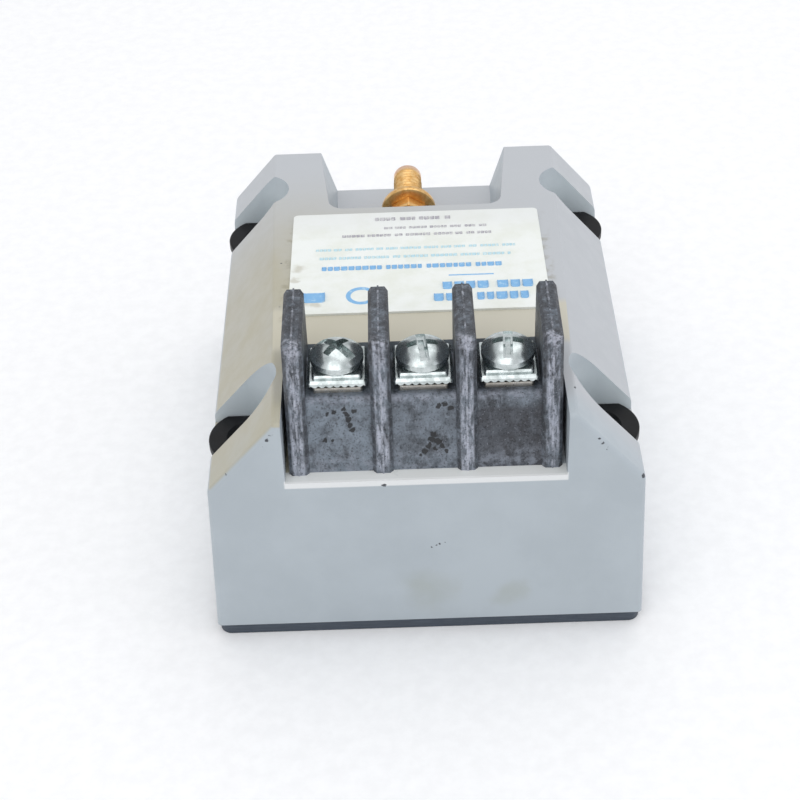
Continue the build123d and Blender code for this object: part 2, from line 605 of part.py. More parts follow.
# ---- coaxial jack in the end wall ----------------------------------------------------------
with BuildPart() as jack_body:
    with BuildSketch(jack_plane):
        with BuildLine():
            Polyline(
                (JACK_TAIL_BACK, 0),
                (JACK_TAIL_BACK, JACK_TAIL_R),
                (HIGH_HALF_Y, JACK_TAIL_R),
                (HIGH_HALF_Y, JACK_SHANK_R - FIT_GAP / 2),
                (JACK_FLANGE_START, JACK_SHANK_R - FIT_GAP / 2),
                (JACK_FLANGE_START, JACK_FLANGE_R - JACK_EASE),
                (JACK_FLANGE_START + JACK_EASE, JACK_FLANGE_R),
                (JACK_THREAD_START - JACK_EASE, JACK_FLANGE_R),
                (JACK_THREAD_START, JACK_FLANGE_R - JACK_EASE),
                (JACK_THREAD_START, JACK_THREAD_R),
                (JACK_THREAD_END - JACK_EASE, JACK_THREAD_R),
                (JACK_THREAD_END, JACK_PILOT_R),
                (JACK_TIP - JACK_EASE, JACK_PILOT_R),
                (JACK_TIP, JACK_PILOT_R - JACK_EASE),
                (JACK_TIP, 0),
                close=True,
            )
        make_face()
    revolve(axis=jack_axis)
    jack_section = Plane(origin=(JACK_X, JACK_HEX_START, JACK_Z), x_dir=(1, 0, 0), z_dir=(0, 1, 0))
    with BuildSketch(jack_section):
        RegularPolygon(JACK_HEX_R, 6)
    extrude(amount=JACK_HEX)
    with BuildSketch(jack_section.offset(JACK_TIP - JACK_HEX_START)):
        Circle(JACK_MOUTH_R)
    extrude(amount=-JACK_MOUTH_DEPTH, mode=Mode.SUBTRACT)
    with BuildSketch(jack_section.offset(JACK_TIP - JACK_HEX_START)):
        Circle(JACK_CORE_R + FIT_GAP / 2)
    extrude(amount=JACK_TAIL_BACK - JACK_TIP, mode=Mode.SUBTRACT)
save(jack_body.part, "jack_body")

with BuildPart() as jack_insulator:
    with BuildSketch(jack_section.offset(JACK_TAIL_BACK - JACK_HEX_START)):
        Circle(JACK_CORE_R)
        Circle(JACK_PIN_R + FIT_GAP / 4, mode=Mode.SUBTRACT)
    extrude(amount=JACK_TIP - JACK_MOUTH_DEPTH - JACK_TAIL_BACK)
save(jack_insulator.part, "jack_insulator")

with BuildPart() as jack_contact:
    with BuildSketch(jack_section.offset(JACK_PIN_BACK - JACK_HEX_START)):
        Circle(JACK_PIN_R)
    extrude(amount=JACK_TIP - JACK_PIN_SETBACK - JACK_PIN_BACK)
    fillet(jack_contact.faces().sort_by(Axis.Y)[-1].edges(), JACK_PIN_R / 2)
save(jack_contact.part, "jack_contact")

with BuildPart() as jack_lock_washer:
    with BuildSketch(jack_section.offset(-JACK_WASHER)):
        Circle(JACK_WASHER_R)
        Circle(JACK_SHANK_R + FIT_GAP, mode=Mode.SUBTRACT)
        with PolarLocations(JACK_WASHER_R, JACK_WASHER_TEETH):
            Rectangle(JACK_WASHER_TOOTH, JACK_WASHER_TOOTH / 2, mode=Mode.SUBTRACT)
    extrude(amount=JACK_WASHER)
save(jack_lock_washer.part, "jack_lock_washer")

# ---- circuit board and its screws ----------------------------------------------------------
with BuildPart() as circuit_board:
    with BuildSketch(Plane.XY.offset(BOARD_BOTTOM)):
        RectangleRounded(2 * BOARD_HALF_X, 2 * BOARD_HALF_Y, BOARD_CORNER)
    extrude(amount=BOARD_THICKNESS)
    drill(board_points, BOARD_SCREW_R + 2 * FIT_GAP, BOARD_BOTTOM, BOARD_THICKNESS)
save(circuit_board.part, "circuit_board")

with BuildPart() as board_screws:
    post(board_points, BOARD_SCREW_HEAD_R, BOARD_BOTTOM - BOARD_SCREW_HEAD, BOARD_SCREW_HEAD)
    fillet(board_screws.faces().sort_by(Axis.Z)[:len(board_points)].edges(), BOARD_SCREW_HEAD / 3)
    post(board_points, BOARD_SCREW_R, BOARD_BOTTOM, BOARD_THICKNESS + BOARD_SCREW_REACH)
    with BuildSketch(Plane.XY.offset(BOARD_BOTTOM - BOARD_SCREW_HEAD)):
        with Locations(*board_points):
            Rectangle(PLATE_SCREW_CROSS, PLATE_SCREW_CROSS_WIDTH)
            Rectangle(PLATE_SCREW_CROSS_WIDTH, PLATE_SCREW_CROSS)
    extrude(amount=PLATE_SCREW_CROSS_DEPTH, mode=Mode.SUBTRACT)
save(board_screws.part, "board_screws")

# ---- oscillator coil: two ferrite cups round a bobbin winding ------------------------------
with BuildPart() as coil_core:
    with BuildSketch(Plane.XY.offset(BOARD_TOP)):
        Circle(CORE_R)
    extrude(amount=CORE_HALF_HEIGHT)
    with BuildSketch(Plane.XY.offset(BOARD_TOP + CORE_END)):
        Circle(CORE_R - CORE_WALL)
        Circle(CORE_POST_R, mode=Mode.SUBTRACT)
    extrude(amount=CORE_HALF_HEIGHT - CORE_END, mode=Mode.SUBTRACT)
    # a gap between the halves keeps them two separate pieces
    mirror(about=Plane.XY.offset(BOARD_TOP + CORE_HALF_HEIGHT + CORE_SPLIT / 2))
save(coil_core.part, "coil_core")

with BuildPart() as coil_winding:
    winding_height = 2 * (CORE_HALF_HEIGHT - CORE_END - WINDING_GAP)
    with BuildSketch(Plane.XY.offset(BOARD_TOP + CORE_END + WINDING_GAP)):
        Circle(CORE_R - CORE_WALL - WINDING_GAP)
        Circle(CORE_POST_R + WINDING_GAP, mode=Mode.SUBTRACT)
    extrude(amount=winding_height)
save(coil_winding.part, "coil_winding")

# ---- small parts on the board --------------------------------------------------------------
with BuildPart() as capacitors:
    post(CAPACITOR_POINTS, CAPACITOR_R, BOARD_TOP, CAPACITOR_HEIGHT)
    fillet(capacitors.faces().sort_by(Axis.Z)[-len(CAPACITOR_POINTS):].edges(), CAPACITOR_R / 6)
save(capacitors.part, "capacitors")

with BuildPart() as transistors:
    for x, y in TRANSISTOR_POINTS:
        legs = [(x + step * TRANSISTOR_LEG_PITCH, y) for step in (-1, 0, 1)]
        post(legs, TRANSISTOR_LEG_R, BOARD_TOP, TRANSISTOR_STANDOFF)
        with BuildSketch(Plane.XY.offset(BOARD_TOP + TRANSISTOR_STANDOFF)):
            with Locations((x, y)):
                Circle(TRANSISTOR_R)
                with Locations((0, -TRANSISTOR_R)):
                    Rectangle(2 * TRANSISTOR_R, TRANSISTOR_R, mode=Mode.SUBTRACT)
        extrude(amount=TRANSISTOR_HEIGHT)
save(transistors.part, "transistors")

with BuildPart() as resistors:
    for x, y in RESISTOR_POINTS:
        height = BOARD_TOP + RESISTOR_R + FIT_GAP
        half_span = RESISTOR_SPAN / 2
        post([(x - half_span, y), (x + half_span, y)], RESISTOR_LEG_R, BOARD_TOP, height - BOARD_TOP)
        with BuildSketch(Plane(origin=(x - half_span, y, height), x_dir=(0, 1, 0), z_dir=(1, 0, 0))):
            Circle(RESISTOR_LEG_R)
        extrude(amount=RESISTOR_SPAN)
        body_start = (x - RESISTOR_LENGTH / 2, y, height)
        with BuildSketch(Plane(origin=body_start, x_dir=(0, 1, 0), z_dir=(1, 0, 0))):
            Circle(RESISTOR_R)
        extrude(amount=RESISTOR_LENGTH)
save(resistors.part, "resistors")

with BuildPart() as gain_trimmer:
    with BuildSketch(Plane.XY.offset(BOARD_TOP)):
        with Locations(TRIMMER_POINT):
            RectangleRounded(TRIMMER_SIZE, TRIMMER_SIZE, TRIMMER_SIZE / 16)
    extrude(amount=TRIMMER_HEIGHT)
    post([TRIMMER_POINT], TRIMMER_SIZE / 3, BOARD_TOP + TRIMMER_HEIGHT, TRIMMER_ROTOR)
    with BuildSketch(Plane.XY.offset(BOARD_TOP + TRIMMER_HEIGHT + TRIMMER_ROTOR)):
        with Locations(TRIMMER_POINT):
            Rectangle(TRIMMER_SIZE / 2, TRIMMER_SIZE / 10)
    extrude(amount=-TRIMMER_ROTOR, mode=Mode.SUBTRACT)
save(gain_trimmer.part, "gain_trimmer")

# ---- leads from the terminals and from the jack down to the board --------------------------
for name, x in zip(LEAD_NAMES, bay_x):
    with BuildPart() as terminal_lead:
        post([(x, CONTACT_TAIL_Y)], LEAD_R, BOARD_TOP, CONTACT_TAIL_END - BOARD_TOP)
    save(terminal_lead.part, name)

with BuildPart() as jack_lead:
    with BuildLine() as jack_lead_path:
        FilletPolyline(
            (JACK_X, JACK_PIN_BACK, JACK_Z),
            (JACK_X, JACK_LEAD_DROP_Y, JACK_Z),
            (JACK_X, JACK_LEAD_DROP_Y, BOARD_TOP),
            radius=JACK_LEAD_BEND,
        )
    with BuildSketch(Plane(origin=(JACK_X, JACK_PIN_BACK, JACK_Z), z_dir=(0, -1, 0))):
        Circle(LEAD_R)
    sweep(path=jack_lead_path.line)
save(jack_lead.part, "jack_lead")
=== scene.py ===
"""Looks of a proximity sensor's driver module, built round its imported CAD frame.

Lengths are in metres in the frame: +Z up, +Y towards the coaxial jack, -Y towards the terminals.
Patterns inside a material are worked out in millimetres.
"""
import json
import math
import random

import bmesh
import bpy
from mathutils import Matrix, Vector


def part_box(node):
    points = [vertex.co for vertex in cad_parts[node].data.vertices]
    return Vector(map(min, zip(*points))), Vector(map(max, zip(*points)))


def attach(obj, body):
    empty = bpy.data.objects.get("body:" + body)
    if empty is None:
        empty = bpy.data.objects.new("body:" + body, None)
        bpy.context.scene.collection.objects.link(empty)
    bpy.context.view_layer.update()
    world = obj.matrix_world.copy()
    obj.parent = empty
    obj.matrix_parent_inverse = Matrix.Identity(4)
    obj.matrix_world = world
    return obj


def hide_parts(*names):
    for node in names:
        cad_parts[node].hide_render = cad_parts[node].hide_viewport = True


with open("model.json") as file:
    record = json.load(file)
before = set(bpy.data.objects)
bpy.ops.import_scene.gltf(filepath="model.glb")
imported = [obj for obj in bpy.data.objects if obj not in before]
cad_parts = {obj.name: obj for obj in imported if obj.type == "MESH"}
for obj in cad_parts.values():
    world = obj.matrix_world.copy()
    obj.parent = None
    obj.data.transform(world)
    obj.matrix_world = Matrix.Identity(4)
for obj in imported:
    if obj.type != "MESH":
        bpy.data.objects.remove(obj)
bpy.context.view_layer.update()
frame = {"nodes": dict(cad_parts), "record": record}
MM = 0.001
nodes = frame["nodes"]


def box_in_mm(node):
    """Lowest and highest corners of a CAD node, in millimetres."""
    return [Vector(corner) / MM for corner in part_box(node)]


casting_low, casting_high = box_in_mm("housing")
strip_high = box_in_mm("terminal_block")[1]
label_low, label_high = box_in_mm("label_plate")
jack_low, jack_high = box_in_mm("jack_body")
screw_x = [sum(corner.x for corner in box_in_mm(f"terminal_screw_{i}")) / 2 for i in (1, 2, 3)]
bay_pitch = screw_x[1] - screw_x[0]
contact_top = box_in_mm("contact_plate_1")[1].z
BUSHING_FLANGE = 1.3
CONTACT_THICKNESS = 0.8
POCKET_FLOOR = 30.1       # floor of the terminal pocket, under the strip
POCKET_HALF = 19.6        # half width of that pocket
MOUNT_HALF = 25.4         # half the square of the four mounting holes
SLOT_R = 4.9              # the U-shaped screw pockets, from their middle to their walls
DIVIDER_HALF = 1.35       # half a divider, inside its chamfers
slot_floor = box_in_mm("mount_bushings")[1].z - BUSHING_FLANGE
deck = contact_top - CONTACT_THICKNESS


# ---- helpers for materials ------------------------------------------------------------------
SMOOTH = {"interpolation_type": "SMOOTHSTEP"}
TIMES = {"operation": "MULTIPLY"}


def tint(code):
    """Linear RGBA of an sRGB hex colour."""
    parts = [int(code[i:i + 2], 16) / 255 for i in (1, 3, 5)]
    return tuple(c / 12.92 if c <= 0.04045 else ((c + 0.055) / 1.055) ** 2.4 for c in parts) + (1.0,)


def add(tree, kind, inputs=None, out=0, **settings):
    """Add one shader node with its settings, its values and its links, and give one of its sockets."""
    made = tree.nodes.new("ShaderNode" + kind)
    for name, value in settings.items():
        setattr(made, name, value)
    for key, value in (inputs or {}).items():
        if isinstance(value, bpy.types.NodeSocket):
            tree.links.new(value, made.inputs[key])
        else:
            made.inputs[key].default_value = value
    return made.outputs[out]


def new_material(name, metallic=0.0, ior=None):
    """A material with its shader and the piece's own coordinates in millimetres."""
    material = bpy.data.materials.new(name)
    material.use_nodes = True
    tree = material.node_tree
    shader = tree.nodes["Principled BSDF"]
    shader.inputs["Metallic"].default_value = metallic
    if ior:
        shader.inputs["IOR"].default_value = ior
    place = add(tree, "TexCoord", out="Object")
    in_mm = add(tree, "VectorMath", {0: place, "Scale": 1 / MM}, operation="SCALE")
    return material, tree, shader, in_mm


def patches(tree, at, grain, low, high, least=0.0, most=1.0, detail=5.0, roughness=0.6):
    """Uneven patches this many millimetres across, from least to most between two levels of a noise."""
    settings = {"Vector": at, "Scale": 1 / grain, "Detail": detail, "Roughness": roughness}
    cloud = add(tree, "TexNoise", settings)
    return add(tree, "MapRange", {0: cloud, 1: low, 2: high, 3: least, 4: most}, **SMOOTH)


def streaks(tree, at, along, grain, low, high, least=0.0, most=1.0, detail=7.0):
    """The same patches, drawn out into streaks by the share that each axis is squeezed to."""
    drawn = add(tree, "VectorMath", {0: at, 1: along}, **TIMES)
    return patches(tree, drawn, grain, low, high, least, most, detail, 0.68)


def between(tree, value, low, high, soft=0.3):
    """1 between two limits in millimetres, fading out over a soft edge beyond each."""
    rise = add(tree, "MapRange", {0: value, 1: low - soft, 2: low}, **SMOOTH)
    fall = add(tree, "MapRange", {0: value, 1: high + soft, 2: high}, **SMOOTH)
    return add(tree, "Math", {0: rise, 1: fall}, **TIMES)


def over(tree, under, colour, *masks):
    """A hex colour laid over another colour where every mask agrees."""
    share = masks[0]
    for mask in masks[1:]:
        share = add(tree, "Math", {0: share, 1: mask}, **TIMES)
    return add(tree, "Mix", {0: share, 6: under, 7: tint(colour)}, out=2, data_type="RGBA")


def spots(tree, at, places, soft=0.3):
    """Round marks at (point, reach) in millimetres, each fading over the soft share of its reach."""
    marks = []
    for point, reach in places:
        far = add(tree, "VectorMath", {0: at, 1: point}, out="Value", operation="DISTANCE")
        marks.append(add(tree, "MapRange", {0: far, 1: reach, 2: reach * (1 - soft)}, **SMOOTH))
    total = marks[0]
    for mark in marks[1:]:
        total = add(tree, "Math", {0: total, 1: mark}, operation="MAXIMUM")
    return total


def wobble(tree, at, grain, reach):
    """The coordinates pushed about by noise, so that a mark gets a ragged outline."""
    push = add(tree, "TexNoise", {"Vector": at, "Scale": 1 / grain, "Detail": 4.0}, out="Color")
    push = add(tree, "VectorMath", {0: push, 1: (0.5, 0.5, 0.5)}, operation="SUBTRACT")
    return add(tree, "VectorMath", {0: push, 1: (reach,) * 3, 2: at}, operation="MULTIPLY_ADD")


def finish_with(tree, shader, colour, roughness, height, depth, strength):
    """Colour and roughness onto the shader, and relief this many millimetres deep."""
    bump = {"Height": height, "Distance": depth * MM, "Strength": strength}
    tree.links.new(colour, shader.inputs["Base Color"])
    tree.links.new(roughness, shader.inputs["Roughness"])
    tree.links.new(add(tree, "Bump", bump), shader.inputs["Normal"])


# ---- the finishes that show -----------------------------------------------------------------
def enamelled_casting():
    """Sprayed and baked enamel on a die casting: satin, faintly pebbled, yellowed and chipped in use."""
    material, tree, shader, mm = new_material("enamelled_casting", ior=1.5)
    x, y, z = add(tree, "SeparateXYZ", {0: mm}).node.outputs
    up = add(tree, "SeparateXYZ", {0: add(tree, "TexCoord", out="Normal")}, out=2)
    across = add(tree, "Math", {0: x}, operation="ABSOLUTE")
    from_middle = add(tree, "Math", {0: y}, operation="ABSOLUTE")
    upward = add(tree, "MapRange", {0: up, 1: 0.3, 2: 0.7}, **SMOOTH)
    level = add(tree, "MapRange", {0: up, 1: 0.8, 2: 0.95}, **SMOOTH)
    front = casting_low.y
    paint = over(tree, tint("#AFB8BE"), "#B5BEC4", patches(tree, mm, 14.0, 0.35, 0.65))

    # painted light: paler on what faces upwards, standing in for the light that falls on the top
    back_of_front = add(tree, "MapRange", {0: y, 1: front + 2.0, 2: front + 8.0}, **SMOOTH)
    paint = over(tree, paint, "#BEC0C3", upward, back_of_front, 0.8)

    # yellowed, handled enamel, mostly on the left and behind the terminals
    leftward = add(tree, "MapRange", {0: x, 1: 24.0, 2: -20.0}, **SMOOTH)
    nearer = add(tree, "MapRange", {0: y, 1: 34.0, 2: -2.0}, **SMOOTH)
    patchy = patches(tree, mm, 6.0, 0.25, 0.75, 0.72, 1.0, detail=6.0)
    paint = over(tree, paint, "#B2AD98", upward, leftward, nearer, patchy)
    behind = between(tree, y, strip_high.y, label_low.y + 1.0, 2.0)
    paint = over(tree, paint, "#C8C3B0", level, behind, 0.85)

    # lip of the terminal pocket painted paler, with a painted highlight along its front edge
    low = between(tree, z, POCKET_FLOOR - 0.8, POCKET_FLOOR + 0.3)
    in_pocket = between(tree, across, -1.0, POCKET_HALF)
    lip = between(tree, y, front - 1.0, front + 2.2)
    paint = over(tree, paint, "#E4E6E4", lip, low, in_pocket, level)
    # painted highlight along the front edge of the lip
    edge = between(tree, y, front - 1.0, front + 0.3, 0.2)
    paint = over(tree, paint, "#F0F1F0", edge, low, in_pocket, 0.8)

    # painted light: walls inside the deep U-shaped screw pockets painted paler and bluer, more so further
    # down, to offset the shade deep in the pockets and the bluish light on side-facing walls
    along = add(tree, "Math", {0: from_middle, 1: MOUNT_HALF}, operation="SUBTRACT")
    along = add(tree, "Math", {0: along}, operation="ABSOLUTE")
    side_on = add(tree, "MapRange", {0: up, 1: 0.5, 2: 0.1}, **SMOOTH)
    top = casting_high.z
    deep = add(tree, "MapRange", {0: z, 1: top - 2.5, 2: top - 7.0, 3: 0.3}, **SMOOTH)
    outer = add(tree, "MapRange", {0: across, 1: 20.0, 2: 20.5}, **SMOOTH)
    above_floor = add(tree, "MapRange", {0: z, 1: slot_floor, 2: slot_floor + 0.2}, **SMOOTH)
    in_slot = between(tree, along, -1.0, SLOT_R, 0.1)
    paint = over(tree, paint, "#CDD6DA", outer, in_slot, above_floor, side_on, deep)

    # darker along the seam beside the label, in patches
    seam = between(tree, across, 19.5, 20.1, 1.0)
    dark_seam_patches = patches(tree, mm, 2.2, 0.48, 0.66, detail=6.0)
    beside_label = between(tree, y, label_low.y, 12.0, 5.0)
    paint = over(tree, paint, "#8C8670", seam, dark_seam_patches, upward, beside_label, 0.5)

    # faint rubbed marks all over, and a few greasy smears low on the front
    paint = over(tree, paint, "#8F959B", streaks(tree, mm, (0.5, 0.5, 2.2), 0.9, 0.64, 0.76, 0.0, 0.3))
    smears = [((0.0, front, 8.0), 6.0), ((12.0, front, 6.0), 4.0)]
    smear = spots(tree, wobble(tree, mm, 6.0, 9.0), smears, 0.9)
    paint = over(tree, paint, "#A5ABA5", smear, 0.5)

    # chips and short scratches down to the dark metal
    chips = [
        ((24.3, -37.4, 35.6), 0.34), ((23.7, -37.4, 36.4), 0.26), ((25.0, -37.4, 34.7), 0.24),
        ((26.9, -37.4, 32.6), 0.2), ((30.3, -37.3, 29.2), 0.42), ((-27.6, -37.4, 32.0), 0.24),
        ((-21.5, -37.4, 38.2), 0.34), ((-20.9, -37.4, 39.0), 0.3), ((-22.2, -37.4, 37.2), 0.22),
        ((-5.9, -37.5, 29.2), 0.4), ((20.9, -31.0, 40.3), 0.25), ((-20.6, -9.0, 39.3), 0.32),
        ((0.6, -37.6, 16.9), 0.17), ((1.2, -37.6, 17.2), 0.2), ((1.8, -37.6, 17.6), 0.2),
        ((2.4, -37.6, 17.8), 0.15),
        ((31.3, -37.5, 12.9), 0.25), ((-20.9, 3.0, 38.9), 0.25),
    ]
    chipped = spots(tree, wobble(tree, mm, 0.6, 0.8), chips)
    paint = over(tree, paint, "#43464C", chipped)

    pebble = add(tree, "TexNoise", {"Vector": mm, "Scale": 1 / 0.55, "Detail": 2.0})
    height = add(tree, "Math", {0: chipped, 1: -0.8, 2: pebble}, operation="MULTIPLY_ADD")
    finish_with(tree, shader, paint, patches(tree, mm, 3.0, 0.3, 0.7, 0.36, 0.48), height, 0.02, 0.5)
    return material


def worn_phenolic():
    """Compression-moulded black phenolic: dull, rubbed grey and dusty, with black pits and scratches, with
    painted sheen, highlights and shade on the dividers, and a painted highlight on each bay's nose.
    """
    material, tree, shader, mm = new_material("worn_phenolic", ior=1.55)
    x, y, z = add(tree, "SeparateXYZ", {0: mm}).node.outputs
    up = add(tree, "SeparateXYZ", {0: add(tree, "TexCoord", out="Normal")}, out=2)
    top = strip_high.z
    first_divider = screw_x[0] - bay_pitch / 2
    from_first = add(tree, "Math", {0: x, 1: first_divider}, operation="SUBTRACT")
    off_line = add(tree, "Math", {0: from_first, 1: bay_pitch / 2}, operation="PINGPONG")
    on_divider = between(tree, off_line, -1.0, DIVIDER_HALF, 0.15)
    in_bay = between(tree, off_line, 1.5, 9.0, 0.15)
    facing_front = add(tree, "MapRange", {0: up, 1: 0.6, 2: 0.35}, **SMOOTH)

    mottle = patches(tree, mm, 2.4, 0.34, 0.66, detail=9.0, roughness=0.7)
    body = over(tree, tint("#33373D"), "#6A737D", mottle)
    body = over(tree, body, "#8A939F", streaks(tree, mm, (1.0, 1.0, 0.3), 0.8, 0.48, 0.72, 0.0, 0.6))

    # the left bay is the most rubbed and the lower right one the least
    left_bay = add(tree, "MapRange", {0: x, 1: -4.5, 2: -8.0}, **SMOOTH)
    body = over(tree, body, "#8995A1", left_bay, in_bay, patches(tree, mm, 1.6, 0.3, 0.62), 0.6)
    middle_bay = between(tree, x, -4.5, 4.5, 0.5)
    body = over(tree, body, "#7D8792", middle_bay, in_bay, patches(tree, mm, 1.8, 0.36, 0.64), 0.5)
    right_bay = add(tree, "MapRange", {0: x, 1: 6.4, 2: 7.4}, **SMOOTH)
    unrubbed = add(tree, "MapRange", {0: z, 1: deck - 1.8, 2: deck - 2.6}, **SMOOTH)
    body = over(tree, body, "#2C2B31", right_bay, unrubbed, in_bay, 0.6)

    # dividers: the middle of the front edge paler, partly rubbed and partly painted sheen, with painted shade
    # towards both sides
    rubbed = streaks(tree, mm, (1.5, 1.0, 0.28), 1.0, 0.4, 0.62)
    front_rub_and_sheen = between(tree, off_line, -1.0, 0.55, 0.6)
    body = over(tree, body, "#B4B9C6", on_divider, facing_front, front_rub_and_sheen, rubbed, 0.95)
    # painted shade on the sloping sides of each divider
    corners = between(tree, off_line, 1.05, 1.3, 0.25)
    body = over(tree, body, "#26272C", corners, patches(tree, mm, 0.9, 0.36, 0.56), 0.7)
    # a painted highlight along the ridge down the middle of each divider
    ridge = between(tree, off_line, -1.0, 0.08, 0.14)
    body = over(tree, body, "#B9BDC8", ridge, on_divider, patches(tree, mm, 1.1, 0.42, 0.58), 0.6)
    # painted shade over the top few millimetres, under the highlight at the bend
    top_shade = add(tree, "MapRange", {0: z, 1: top - 5.0, 2: top - 1.0}, **SMOOTH)
    body = over(tree, body, "#2E2F34", top_shade, patches(tree, mm, 0.8, 0.4, 0.56), 0.6)

    # a painted highlight at the bend between a divider's front and its top
    bends = [((first_divider + bay_pitch * k, -31.9, top - 0.4), 1.9) for k in range(4)]
    bend_highlight = spots(tree, wobble(tree, mm, 1.5, 2.6), bends, 0.8)
    body = over(tree, body, "#B9BCC8", bend_highlight, patches(tree, mm, 0.7, 0.4, 0.6), 0.8)

    # a painted highlight along the nose of each bay, and pale dust at its foot
    side_view = add(tree, "CombineXYZ", {1: y, 2: z})
    nose_highlight = spots(tree, wobble(tree, side_view, 1.2, 1.0), [((0.0, -32.9, deck - 0.2), 1.3)], 0.8)
    body = over(tree, body, "#9EA3B0", nose_highlight, in_bay, patches(tree, mm, 0.9, 0.35, 0.65), 0.6)
    dusty = add(tree, "MapRange", {0: z, 1: POCKET_FLOOR + 4.5, 2: POCKET_FLOOR + 0.5}, **SMOOTH)
    body = over(tree, body, "#9097A3", dusty, patches(tree, mm, 1.4, 0.42, 0.6), 0.6)

    # fine black pits and pale specks, drawn a little coarser than they are so that they show
    pits = patches(tree, mm, 0.28, 0.46, 0.32, detail=4.0, roughness=0.75)
    body = over(tree, body, "#121317", pits, 0.8)
    specks = patches(tree, mm, 0.34, 0.58, 0.7, detail=4.0, roughness=0.75)
    body = over(tree, body, "#AEB3BF", specks, 0.55)

    # scratches: drips in the left bay, a hooked one and a scraped triangle in the middle one
    drips = [
        ((-11.0, -33.2, 39.6), 0.3), ((-10.7, -33.4, 38.8), 0.34), ((-10.5, -33.6, 38.0), 0.36),
        ((-10.3, -33.8, 37.2), 0.3), ((-12.4, -33.3, 39.2), 0.3), ((-13.4, -33.4, 39.0), 0.26),
        ((-9.6, -33.3, 39.3), 0.3), ((-10.0, -34.0, 36.4), 0.34), ((-13.8, -34.3, 34.9), 0.24),
        ((-12.8, -34.3, 34.9), 0.24),
    ]
    hook = [((2.0, -33.2, 39.6), 0.34), ((2.9, -33.2, 39.9), 0.3), ((3.6, -33.3, 39.3), 0.26)]
    triangle = [
        ((1.2, -34.2, 35.4), 0.36), ((0.9, -34.4, 34.6), 0.4), ((0.5, -34.6, 33.7), 0.36),
        ((1.7, -34.5, 34.2), 0.42), ((2.4, -34.6, 33.6), 0.34), ((-0.1, -34.8, 32.9), 0.3),
        ((1.4, -34.7, 33.2), 0.3), ((-0.7, -35.0, 32.3), 0.24), ((2.9, -34.8, 32.8), 0.26),
    ]
    spread = 1.45         # the marks run together into each other
    scrapes = [(place, spread * reach) for place, reach in drips + hook + triangle]
    scraped = spots(tree, wobble(tree, mm, 0.7, 1.1), scrapes)
    body = over(tree, body, "#0E0F12", scraped, 0.92)

    hollow = add(tree, "Math", {0: pits, 1: scraped}, operation="MAXIMUM")
    height = add(tree, "Math", {0: hollow, 1: -1.0, 2: specks}, operation="MULTIPLY_ADD")
    finish_with(tree, shader, body, patches(tree, mm, 2.6, 0.3, 0.7, 0.4, 0.62), height, 0.06, 0.7)
    return material


def bright_zinc():
    """Electroplated bright zinc on steel: a bluish sheen, softened and clouded by handling."""
    material, tree, shader, mm = new_material("bright_zinc", metallic=1.0)
    colour = over(tree, tint("#D2D9D9"), "#B4BDBC", patches(tree, mm, 1.1, 0.35, 0.7, detail=6.0))
    colour = over(tree, colour, "#7C8684", patches(tree, mm, 0.5, 0.6, 0.76, 0.0, 0.45, detail=7.0))
    fine = add(tree, "TexNoise", {"Vector": mm, "Scale": 1 / 0.3, "Detail": 5.0})
    finish_with(tree, shader, colour, patches(tree, mm, 1.1, 0.3, 0.75, 0.2, 0.36), fine, 0.015, 0.3)
    return material


def dull_tin():
    """Tin plate on brass, stamped: soft white metal with a faint warm cast."""
    material, tree, shader, mm = new_material("dull_tin", metallic=1.0)
    colour = over(tree, tint("#E0DCD3"), "#C0BAAF", patches(tree, mm, 0.9, 0.35, 0.7, detail=6.0))
    fine = add(tree, "TexNoise", {"Vector": mm, "Scale": 1 / 0.25, "Detail": 4.0})
    finish_with(tree, shader, colour, patches(tree, mm, 0.9, 0.3, 0.7, 0.26, 0.42), fine, 0.015, 0.4)
    return material


def gold_flash():
    """Thin gold plate over turned brass: warm and satin, with turning marks and a painted pinkish reflection
    on the tip.
    """
    material, tree, shader, mm = new_material("gold_flash", metallic=1.0)
    y = add(tree, "SeparateXYZ", {0: mm}, out=1)
    tip = jack_high.y
    colour = over(tree, tint("#F2C98A"), "#DBA863", patches(tree, mm, 0.8, 0.35, 0.7, detail=6.0))
    # a painted pinkish reflection on the tip
    tip_reflection = add(tree, "MapRange", {0: y, 1: tip - 1.6, 2: tip - 0.5}, **SMOOTH)
    colour = over(tree, colour, "#EFCDB8", tip_reflection, 0.8)
    links = {"Vector": mm, "Scale": 1.6, "Distortion": 0.4}
    rings = add(tree, "TexWave", links, out="Fac", bands_direction="Y")
    finish_with(tree, shader, colour, patches(tree, mm, 0.8, 0.3, 0.7, 0.3, 0.44), rings, 0.01, 0.4)
    return material


def printed_film():
    """Printed polyester label: smooth off-white film, yellowed in patches and stained at one corner."""
    material, tree, shader, mm = new_material("printed_film", ior=1.5)
    y = add(tree, "SeparateXYZ", {0: mm}, out=1)
    colour = over(tree, tint("#EFF2EE"), "#E6E9E0", patches(tree, mm, 5.0, 0.35, 0.68))
    far_end = add(tree, "MapRange", {0: y, 1: 8.0, 2: 15.0}, **SMOOTH)
    colour = over(tree, colour, "#DFE1E0", far_end, 0.5)
    stains = [
        ((-16.6, -8.0, 39.8), 1.9), ((-15.4, -9.2, 39.8), 1.1),
        ((-18.4, 0.6, 39.4), 1.5), ((-18.6, -2.6, 39.5), 1.0),
    ]
    stained = spots(tree, wobble(tree, mm, 1.8, 2.2), stains, 0.7)
    colour = over(tree, colour, "#A99F86", stained, 0.45)
    colour = over(tree, colour, "#B9B7A6", patches(tree, mm, 0.5, 0.68, 0.76, 0.0, 0.35, detail=6.0))
    wavy = add(tree, "TexNoise", {"Vector": mm, "Scale": 1 / 2.0, "Detail": 4.0})
    finish_with(tree, shader, colour, patches(tree, mm, 5.0, 0.3, 0.7, 0.32, 0.44), wavy, 0.03, 0.25)
    return material


